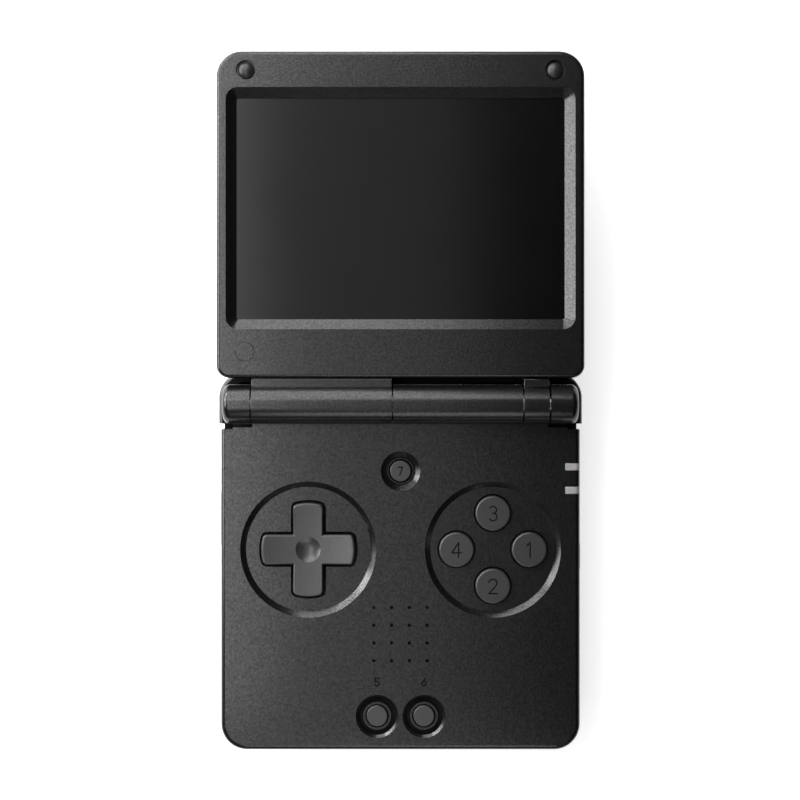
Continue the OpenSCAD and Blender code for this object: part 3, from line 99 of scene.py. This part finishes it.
class Shader:
    """A new material's nodes, with short calls to add and join them."""

    def __init__(self, name):
        self.material = bpy.data.materials.new(name)
        self.material.use_nodes = True
        self.nodes = self.material.node_tree.nodes
        self.links = self.material.node_tree.links
        self.surface = self.nodes["Principled BSDF"]
        self.place = self.add("ShaderNodeTexCoord").outputs["Object"]

    def add(self, kind, **inputs):
        node = self.nodes.new(kind)
        for name, value in inputs.items():
            node.inputs[name].default_value = value
        return node

    def join(self, output, target):
        self.links.new(output, target)

    def noise(self, size_mm, detail=2.0, stretch=None):
        """Noise whose spots are about size_mm across; stretch scales the axes before it."""
        node = self.add("ShaderNodeTexNoise", Scale=1 / (size_mm * MM), Detail=detail)
        start = self.place
        if stretch:
            scale = self.add("ShaderNodeVectorMath")
            scale.operation = "MULTIPLY"
            scale.inputs[1].default_value = stretch
            self.join(start, scale.inputs[0])
            start = scale.outputs[0]
        self.join(start, node.inputs["Vector"])
        return node.outputs["Fac"]

    def spread(self, value, low, high, start=0.3, end=0.7):
        """value, which runs from about start to end, stretched to run from low to high."""
        node = self.add("ShaderNodeMapRange")
        for name, number in (("From Min", start), ("From Max", end), ("To Min", low), ("To Max", high)):
            node.inputs[name].default_value = number
        self.join(value, node.inputs["Value"])
        return node.outputs["Result"]

    def colours(self, value, dark, light, start=0.3, end=0.7):
        ramp = self.add("ShaderNodeValToRGB")
        ramp.color_ramp.elements[0].position = start
        ramp.color_ramp.elements[0].color = (*dark, 1)
        ramp.color_ramp.elements[1].position = end
        ramp.color_ramp.elements[1].color = (*light, 1)
        self.join(value, ramp.inputs["Fac"])
        self.join(ramp.outputs["Color"], self.surface.inputs["Base Color"])

    def roughness(self, value, low, high):
        self.join(self.spread(value, low, high), self.surface.inputs["Roughness"])

    def bump(self, value, depth_mm, strength=1.0):
        node = self.add("ShaderNodeBump", Strength=strength, Distance=depth_mm * MM)
        self.join(value, node.inputs["Height"])
        self.join(node.outputs["Normal"], self.surface.inputs["Normal"])

    def set(self, **values):
        for name, value in values.items():
            self.surface.inputs[name.replace("_", " ")].default_value = value


SHELL_IOR = 1.57
KEY_IOR = 1.61
LENS_IOR = 1.376
GLOSS_SPOT_MM = 30
GLOSS_CHANGE = 0.012
PLAIN_SHINE = 0.5
DULL_SHINE = 0.12


def shade(colour, factor):
    return tuple(min(1, c * factor) for c in colour)


def plastic(name, colour, rough, grain_mm, depth_mm, mottle, ior=SHELL_IOR):
    """Moulded plastic: a fine spark-eroded grain in colour and height, and a slow change of gloss."""
    s = Shader(name)
    s.set(IOR=ior)
    grain = s.noise(grain_mm, 2.0)
    s.colours(grain, shade(colour, 1 - mottle), shade(colour, 1 + mottle))
    s.roughness(s.noise(GLOSS_SPOT_MM, 1.0), rough - GLOSS_CHANGE, rough + GLOSS_CHANGE)
    shine = s.spread(grain, PLAIN_SHINE - mottle / 2, PLAIN_SHINE + mottle / 2)
    s.join(shine, s.surface.inputs["Specular IOR Level"])
    s.bump(grain, depth_mm)
    return s


def matt(name, colour):
    """Dull dark plastic, for printed ink and for painted shade where shadow falls in grooves and gaps."""
    s = Shader(name)
    s.set(IOR=SHELL_IOR, Specular_IOR_Level=DULL_SHINE)
    s.colours(s.noise(0.3), shade(colour, 0.8), shade(colour, 1.2))
    s.roughness(s.noise(3), 0.6, 0.7)
    return s.material


def metal(name, colour, rough, stretch):
    """Turned or rolled metal with a fine directional brush."""
    s = Shader(name)
    brush = s.noise(0.5, 3.0, stretch)
    s.colours(brush, shade(colour, 0.86), shade(colour, 1.1))
    s.roughness(brush, rough - 0.06, rough + 0.08)
    s.bump(brush, 0.002)
    s.set(Metallic=1.0)
    return s


def glass_front():
    s = Shader("lens_coated")
    s.colours(s.noise(14, 2.0), (0.0022, 0.0023, 0.0026), (0.0032, 0.0033, 0.0036))
    s.roughness(s.noise(22, 4.0), 0.18, 0.2)
    s.set(IOR=LENS_IOR)
    return s


def rubber(name, colour, rough):
    s = Shader(name)
    grain = s.noise(0.2, 2.0)
    s.colours(grain, shade(colour, 0.8), shade(colour, 1.2))
    s.roughness(s.noise(3, 3.0), rough - 0.05, rough + 0.06)
    s.bump(grain, 0.004)
    return s


def light_pipe():
    s = Shader("light_pipe_frosted")
    s.colours(s.noise(1.2, 2.0), (0.36, 0.36, 0.365), (0.44, 0.44, 0.445))
    s.roughness(s.noise(0.4, 2.0), 0.22, 0.32)
    s.set(Subsurface_Weight=0.35, Subsurface_Scale=0.0006)
    return s


def board():
    s = Shader("board_mask")
    tracks = s.noise(0.8, 1.0, (1, 6, 1))
    s.colours(tracks, (0.008, 0.055, 0.03), (0.02, 0.11, 0.06), 0.46, 0.54)
    s.roughness(s.noise(4, 2.0), 0.28, 0.4)
    s.bump(tracks, 0.01)
    return s


SHELL_COLOUR = (0.006, 0.006, 0.0063)
KEY_COLOUR = (0.0328, 0.0328, 0.0335)

# After its colour, a plastic has its roughness, its grain's size and depth in mm, and how far the grain
# changes its colour; a metal has its roughness and how many times finer its brush is along each axis
MATERIALS = {
    "shell": plastic("shell_grained", SHELL_COLOUR, 0.24, 0.45, 0.018, 0.3),
    "keys": plastic("key_satin", KEY_COLOUR, 0.29, 0.4, 0.004, 0.08, KEY_IOR),
    "bumper_rubber": rubber("bumper_rubber_satin", (0.02, 0.02, 0.021), 0.36),
    "membrane_rubber": rubber("membrane_silicone", (0.03, 0.03, 0.031), 0.6),
    "lens": glass_front(),
    "display": plastic("display_black", (0.008, 0.008, 0.009), 0.2, 0.3, 0.001, 0.1),
    "backlight": plastic("backlight_white", (0.7, 0.7, 0.71), 0.35, 0.4, 0.002, 0.05),
    "light_pipe": light_pipe(),
    "steel": metal("steel_turned", (0.52, 0.52, 0.53), 0.3, (1, 8, 8)),
    "port_steel": metal("steel_stamped", (0.58, 0.58, 0.59), 0.26, (1, 1, 9)),
    "screws": metal("screw_black", (0.07, 0.07, 0.072), 0.36, (6, 6, 1)),
    "board": board(),
    "switches": plastic("switch_film", (0.3, 0.17, 0.05), 0.4, 0.5, 0.004, 0.2),
    "shield": metal("shield_tinned", (0.6, 0.6, 0.61), 0.34, (1, 6, 1)),
    "battery": plastic("battery_pouch", (0.1, 0.13, 0.18), 0.3, 1.4, 0.01, 0.12),
    "speaker": plastic("speaker_basket", (0.05, 0.05, 0.05), 0.45, 0.3, 0.006, 0.2),
    "jack": plastic("jack_moulding", (0.02, 0.02, 0.02), 0.4, 0.3, 0.004, 0.15),
    "cable": plastic("cable_film", (0.4, 0.19, 0.04), 0.3, 0.9, 0.003, 0.12),
}


def dress(target, slot):
    """Gives an object its slot's material."""
    target.data.materials.clear()
    target.data.materials.append(MATERIALS[slot].material)


for node, node_object in frame["nodes"].items():
    dress(node_object, node_slots[node])

mark_ink = matt("mark_ink", (0.004, 0.004, 0.004))
# Painted shade: near-black dull plastic on flange and groove faces, the hinge's cradle and the shoulder
# buttons' tops, where shadow falls
painted_shade_moulding = matt("painted_shade_moulding", (0.003, 0.003, 0.003))


# Finished copies of the pieces that show, with their moulded edges rounded

EDGE_MM = {
    "base_top_shell": 0.14,
    "base_bottom_shell": 0.14,
    "battery_door": 0.1,
    "hinge_cap_left": 0.12,
    "hinge_cap_right": 0.12,
    "lid_bezel": 0.14,
    "lid_back_cover": 0.14,
    "screen_lens": 0.08,
    "d_pad": 0.1,
    "face_button_right": 0.06,
    "face_button_bottom": 0.06,
    "face_button_top": 0.06,
    "face_button_left": 0.06,
    "menu_button": 0.06,
    "select_button": 0.06,
    "start_button": 0.06,
    "shoulder_outer_left": 0.12,
    "shoulder_inner_left": 0.12,
    "shoulder_outer_right": 0.12,
    "shoulder_inner_right": 0.12,
    "power_light_pipe": 0.2,
    "charge_light_pipe": 0.2,
    "power_button": 0.15,
    "volume_rocker": 0.15,
    "lid_bumper_left": 0.1,
    "lid_bumper_right": 0.1,
    "lid_screw_plug": 0.06,
}

# Places of the ink and the painted shade among a finished copy's materials; its own finish comes first
INK = 1
PAINTED_SHADE = 2

# Heights of the faces that the engraved numerals go down from, the numerals' depth, and the share of
# a piece's edge rounding that their thin strokes get
BUTTON_FACE_MM = 16.9
MARK_DEPTH_MM = 0.15
MARK_EDGE_SHARE = 0.25
MARK_SLACK_MM = 0.01
MARKED_FACE_MM = {
    "base_top_shell": 16,
    "menu_button": 15.65,
    "face_button_right": BUTTON_FACE_MM,
    "face_button_bottom": BUTTON_FACE_MM,
    "face_button_top": BUTTON_FACE_MM,
    "face_button_left": BUTTON_FACE_MM,
}

# Below these heights, what faces up gets painted shade, near-black dull plastic for the shadow on flanges
# and groove floors
PAINTED_SHADE_BELOW_MM = {
    "base_top_shell": 14.7,
    "base_bottom_shell": 6,
    "d_pad": 14,
    "menu_button": 14,
    "select_button": 14,
    "start_button": 14,
    "face_button_right": 14,
    "face_button_bottom": 14,
    "face_button_top": 14,
    "face_button_left": 14,
}

# The cradle of the hinge gets painted shade too, and the ends of the barrel's lengths get a smaller
# rounding
AXIS_HEIGHT_MM = 19.4
CRADLE_R_MM = 5.02
CRADLE_TOP_MM = 15.95
BARREL_R_MM = 4.6
BARREL_SLACK_MM = 0.03
BARREL_EDGE_SHARE = 0.3


def mark_faces(work, node):
    """The floors and walls of a piece's engraved numerals."""
    if node not in MARKED_FACE_MM:
        return set()
    height = (MARKED_FACE_MM[node] - MARK_DEPTH_MM) * MM
    flats = [f for f in work.faces if f.normal.z > NEARLY_LEVEL]
    floors = {f for f in flats if abs(f.calc_center_median().z - height) < MARK_SLACK_MM * MM}
    walls = {f for floor in floors for e in floor.edges for f in e.link_faces}
    return floors | walls


def on_barrel(edge):
    """Whether an edge lies on the outside of the hinge's barrel."""
    away = [math.hypot(v.co.y, v.co.z - AXIS_HEIGHT_MM * MM) for v in edge.verts]
    return all(abs(a - BARREL_R_MM * MM) < BARREL_SLACK_MM * MM for a in away)


def is_painted_shade(face, node):
    """Whether a face gets painted shade, near-black dull plastic where shadow falls. The flat tops of the
    shoulder buttons do.
    """
    centre = face.calc_center_median() / MM
    if face.normal.z < FACES_UP:
        return False
    if node.startswith("shoulder"):
        return face.normal.z > NEARLY_LEVEL
    if node == "base_top_shell" and centre.z < CRADLE_TOP_MM:
        if math.hypot(centre.y, centre.z - AXIS_HEIGHT_MM) < CRADLE_R_MM:
            return True
    return centre.z < PAINTED_SHADE_BELOW_MM.get(node, 0)


def join_flats(work):
    bmesh.ops.dissolve_limit(work, angle_limit=FLAT_ANGLE, verts=work.verts, edges=work.edges)


# The D-pad's face is a shallow bowl with a dimple in it; its rim is rounded while the bowl is laid flat
PAD_MIDDLE = Vector((-21.65, -34.1)) * MM
BOWL_LOW = 16.1 * MM
BOWL_BALL = 81.6 * MM
BOWL_RIM = 0.5 * MM
BOWL_RIM_STEPS = 6
BOWL_GRID = 1 * MM
BOWL_HALF_GRID = 11
DIMPLE_R = 2.8 * MM


def bowl_rise(vert):
    """How far the bowl has risen above its lowest point at a vertex."""
    away = (vert.co.xy - PAD_MIDDLE).length
    return BOWL_BALL - math.sqrt(BOWL_BALL ** 2 - away ** 2)


def grid_bowl(work, axis):
    """Cuts the flat bowl into strips across one axis, so that it can bend."""
    normal = [0, 0, 0]
    normal[axis] = 1
    for step in range(-BOWL_HALF_GRID, BOWL_HALF_GRID + 1):
        place = [*PAD_MIDDLE, 0]
        place[axis] += step * BOWL_GRID
        level = [f for f in work.faces if all(abs(v.co.z - BOWL_LOW) < WELD for v in f.verts)]
        edges = dict.fromkeys(e for f in level for e in f.edges)
        verts = dict.fromkeys(v for f in level for v in f.verts)
        parts = [*level, *edges, *verts]
        bmesh.ops.bisect_plane(work, geom=parts, dist=WELD, plane_co=place, plane_no=normal)


def round_bowl(work):
    """Rounds the rim of the D-pad's bowl."""
    for vert in work.verts:
        if vert.co.z > BOWL_LOW:
            vert.co.z = BOWL_LOW
    work.normal_update()
    join_flats(work)
    flats = [f for f in work.faces if f.normal.z > LEVEL]
    level = [f for f in flats if abs(f.calc_center_median().z - BOWL_LOW) < WELD]
    edges = dict.fromkeys(e for f in level for e in f.edges)
    rim = [e for e in edges if any(abs(f.normal.z) < UPRIGHT for f in e.link_faces)]
    bmesh.ops.bevel(work, geom=rim, offset=BOWL_RIM, offset_type="OFFSET", segments=BOWL_RIM_STEPS,
                    profile=0.5, affect="EDGES", clamp_overlap=False)
    for axis in (0, 1):
        grid_bowl(work, axis)
    for vert in work.verts:
        away = (vert.co.xy - PAD_MIDDLE).length
        if vert.co.z > BOWL_LOW - BOWL_RIM - WELD and away > DIMPLE_R:
            vert.co.z += bowl_rise(vert)


def prepare(work, node):
    """Joins a CAD mesh into whole faces, weighs its sharp edges and picks out its ink and its
    painted-shade faces.
    """
    bmesh.ops.remove_doubles(work, verts=work.verts, dist=WELD)
    if node == "d_pad":
        round_bowl(work)
    else:
        join_flats(work)
    marks = mark_faces(work, node)
    weights = work.edges.layers.float.new("bevel_weight_edge")
    for edge in work.edges:
        angle = edge.calc_face_angle(0)
        if angle > SMOOTH_ANGLE and marks.intersection(edge.link_faces):
            edge[weights] = MARK_EDGE_SHARE
        elif angle > SMOOTH_ANGLE:
            edge[weights] = BARREL_EDGE_SHARE if on_barrel(edge) else 1
        elif angle > CRISP_ANGLE.get(node, SMOOTH_ANGLE):
            edge[weights] = CRISP_EDGE_SHARE
    for face in work.faces:
        if face in marks:
            face.material_index = INK
        # Faces in grooves, gaps and under parts get painted shade
        elif is_painted_shade(face, node):
            face.material_index = PAINTED_SHADE


def finished(node, edge_mm):
    """A copy of a CAD node with its sharp edges rounded; it stands for the node."""
    mesh = frame["nodes"][node].data.copy()
    piece = bpy.data.objects.new(node + "_finished", mesh)
    bpy.context.scene.collection.objects.link(piece)
    work = bmesh.new()
    work.from_mesh(mesh)
    prepare(work, node)
    work.to_mesh(mesh)
    work.free()
    mesh.materials.append(mark_ink)
    # Third slot: painted shade, near-black dull plastic
    mesh.materials.append(painted_shade_moulding)
    mesh.shade_smooth()
    if "custom_normal" in mesh.attributes:
        mesh.attributes.remove(mesh.attributes["custom_normal"])
    mesh.set_sharp_from_angle(angle=CRISP_ANGLE.get(node, SMOOTH_ANGLE))
    bevel = piece.modifiers.new("edges", "BEVEL")
    bevel.width = edge_mm * MM
    bevel.segments = EDGE_STEPS
    bevel.limit_method = "WEIGHT"
    bevel.use_clamp_overlap = True
    normals = piece.modifiers.new("normals", "WEIGHTED_NORMAL")
    normals.keep_sharp = True
    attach(piece, body_of[node])
    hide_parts(node)
    return piece


for node, edge_mm in EDGE_MM.items():
    finished(node, edge_mm)


# Studio


def area_light(name, place, size, power, target=None):
    """A rectangular lamp that faces its target, or straight down without one."""
    lamp = bpy.data.lights.new(name, "AREA")
    lamp.shape = "RECTANGLE"
    lamp.size, lamp.size_y = size
    lamp.energy = power
    holder = bpy.data.objects.new(name, lamp)
    holder.visible_camera = False
    bpy.context.scene.collection.objects.link(holder)
    holder.location = place
    if target:
        holder.rotation_euler = (Vector(target) - Vector(place)).to_track_quat("-Z", "Y").to_euler()


def make_floor():
    mesh = bpy.data.meshes.new("floor")
    h = FLOOR_HALF
    z = -FLOOR_GAP_MM * MM
    mesh.from_pydata([(-h, -h, z), (h, -h, z), (h, h, z), (-h, h, z)], [], [(0, 1, 2, 3)])
    floor = bpy.data.objects.new("floor", mesh)
    bpy.context.scene.collection.objects.link(floor)
    s = Shader("floor_paper")
    s.colours(s.noise(3, 2.0), shade((FLOOR_COLOUR,) * 3, 0.99), (FLOOR_COLOUR,) * 3)
    s.set(Roughness=0.9, Emission_Color=(1, 1, 1, 1))
    path = s.add("ShaderNodeLightPath")
    seen = path.outputs["Is Camera Ray"]
    for other in ("Is Glossy Ray", "Is Transmission Ray"):
        either = s.add("ShaderNodeMath")
        either.operation = "MAXIMUM"
        s.join(seen, either.inputs[0])
        s.join(path.outputs[other], either.inputs[1])
        seen = either.outputs[0]
    s.join(s.spread(seen, 0, FLOOR_GLOW, 0, 1), s.surface.inputs["Emission Strength"])
    mesh.materials.append(s.material)


def make_sky():
    """A dark room with a dim glow round the horizon, and white where the camera looks past the floor."""
    world = bpy.data.worlds.new("studio")
    bpy.context.scene.world = world
    world.use_nodes = True
    nodes, links = world.node_tree.nodes, world.node_tree.links
    background = nodes["Background"]
    height = nodes.new("ShaderNodeSeparateXYZ")
    links.new(nodes.new("ShaderNodeTexCoord").outputs["Generated"], height.inputs["Vector"])
    ramp = nodes.new("ShaderNodeMapRange")
    ramp.interpolation_type = "SMOOTHSTEP"
    span = {"From Min": 0, "From Max": HORIZON_TOP, "To Min": HORIZON_GLOW, "To Max": 0}
    for name, number in span.items():
        ramp.inputs[name].default_value = number
    links.new(height.outputs["Z"], ramp.inputs["Value"])
    path = nodes.new("ShaderNodeLightPath")
    mix = nodes.new("ShaderNodeMix")
    links.new(path.outputs["Is Camera Ray"], mix.inputs["Factor"])
    links.new(ramp.outputs["Result"], mix.inputs["A"])
    mix.inputs["B"].default_value = 1
    links.new(mix.outputs["Result"], background.inputs["Strength"])
    background.inputs["Color"].default_value = (1, 1, 1, 1)


def make_camera():
    lens = bpy.data.cameras.new("camera")
    lens.lens = CAMERA_LENS_MM
    lens.sensor_width = SENSOR_MM
    camera = bpy.data.objects.new("camera", lens)
    camera.location = Vector(CAMERA_PLACE_MM) * MM
    bpy.context.scene.collection.objects.link(camera)
    bpy.context.scene.camera = camera


make_floor()
make_sky()
for name, (place, size, power, target) in LAMPS.items():
    area_light(name, place, size, power, target)
make_camera()
bpy.context.scene.view_settings.view_transform = "Standard"
